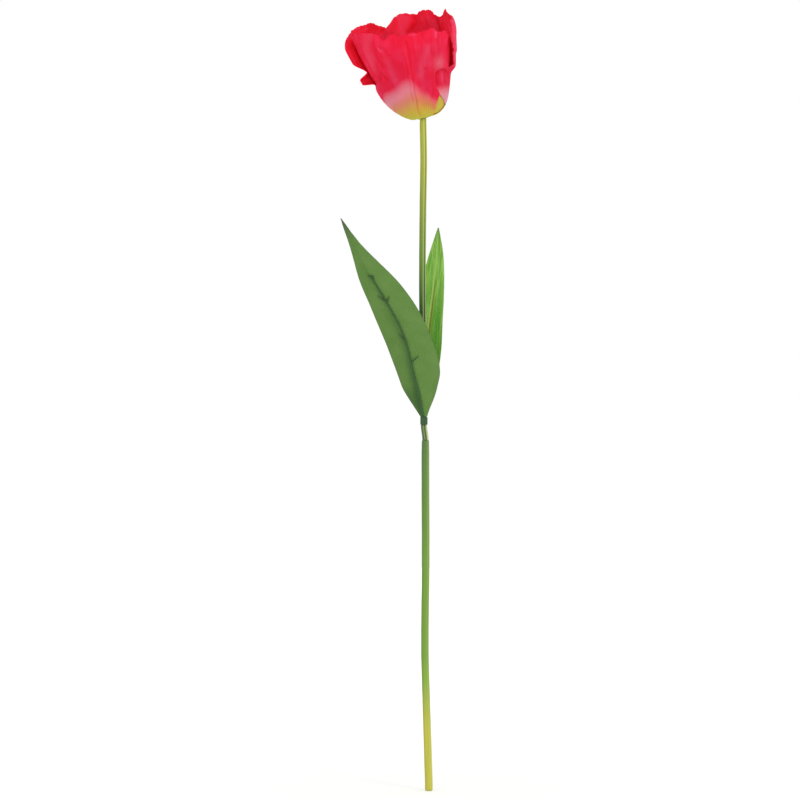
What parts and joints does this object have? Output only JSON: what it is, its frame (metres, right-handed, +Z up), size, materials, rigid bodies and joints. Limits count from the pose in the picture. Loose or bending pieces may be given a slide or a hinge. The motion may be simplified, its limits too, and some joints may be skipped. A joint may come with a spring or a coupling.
{
  "type": "artificial tulip",
  "caption": "Artificial parrot tulip: ruffled red fabric bloom on a two-piece green plastic stem with a leaf collar and fabric leaves.",
  "frame": {"origin": "middle of the flat cut end of the lower stem", "axes": "+Z up along the stem towards the bloom; the pictured front faces -Y, with +X to its right"},
  "size_m": [0.0972, 0.0795, 0.6624],
  "materials": {
    "stem_plastic": "satin moulded polyethylene",
    "upper_stem_plastic": "satin moulded polyethylene, green blending to yellow at the top",
    "rib_plastic": "satin soft plastic",
    "leaf_fabric": "heat-pressed polyester with veins",
    "petal_fabric": "heat-pressed dyed polyester",
    "receptacle_plastic": "matte",
    "stamen_plastic": "matte",
    "steel_wire": "drawn"
  },
  "bodies": {
    "stem_base": {"lower_stem": "stem_plastic", "lower_wire": "steel_wire"},
    "stem_top": {"upper_stem": "upper_stem_plastic", "upper_wire": "steel_wire"},
    "collar": {"leaf_collar": "rib_plastic"},
    "large_leaf": {"large_leaf_blade": "leaf_fabric", "large_leaf_rib": "rib_plastic"},
    "small_leaf": {"small_leaf_blade": "leaf_fabric", "small_leaf_rib": "rib_plastic"},
    "bloom": {"receptacle": "receptacle_plastic", "pistil": "receptacle_plastic", "stamens": "stamen_plastic", "petal_front": "petal_fabric", "petal_right": "petal_fabric", "petal_left": "petal_fabric", "petal_inner_left": "petal_fabric", "petal_inner_back": "petal_fabric", "petal_inner_right": "petal_fabric"}
  },
  "joints": [
    {"name": "stem_plug", "type": "slide", "parent": "stem_base", "child": "stem_top", "axis": [0, 0, 1], "range_m": [0, 0.036]},
    {"name": "collar_swivel", "type": "hinge", "parent": "stem_top", "child": "collar", "pos_m": [-0.0042, 0, 0.31235], "axis": [0, 0, 1], "continuous": true},
    {"name": "large_leaf_bend", "type": "hinge", "parent": "collar", "child": "large_leaf", "pos_m": [-0.00496, -0.00433, 0.3169], "axis": [0.9848, -0.1736, 0], "range_deg": [0, 60]},
    {"name": "small_leaf_bend", "type": "hinge", "parent": "collar", "child": "small_leaf", "pos_m": [-0.00331, 0.00421, 0.3168], "axis": [-0.9781, 0.2079, 0], "range_deg": [0, 60]},
    {"name": "bloom_turn", "type": "hinge", "parent": "stem_top", "child": "bloom", "pos_m": [-0.005, 0, 0.5674], "axis": [-0.1994, 0, 0.9799], "continuous": true}
  ]
}
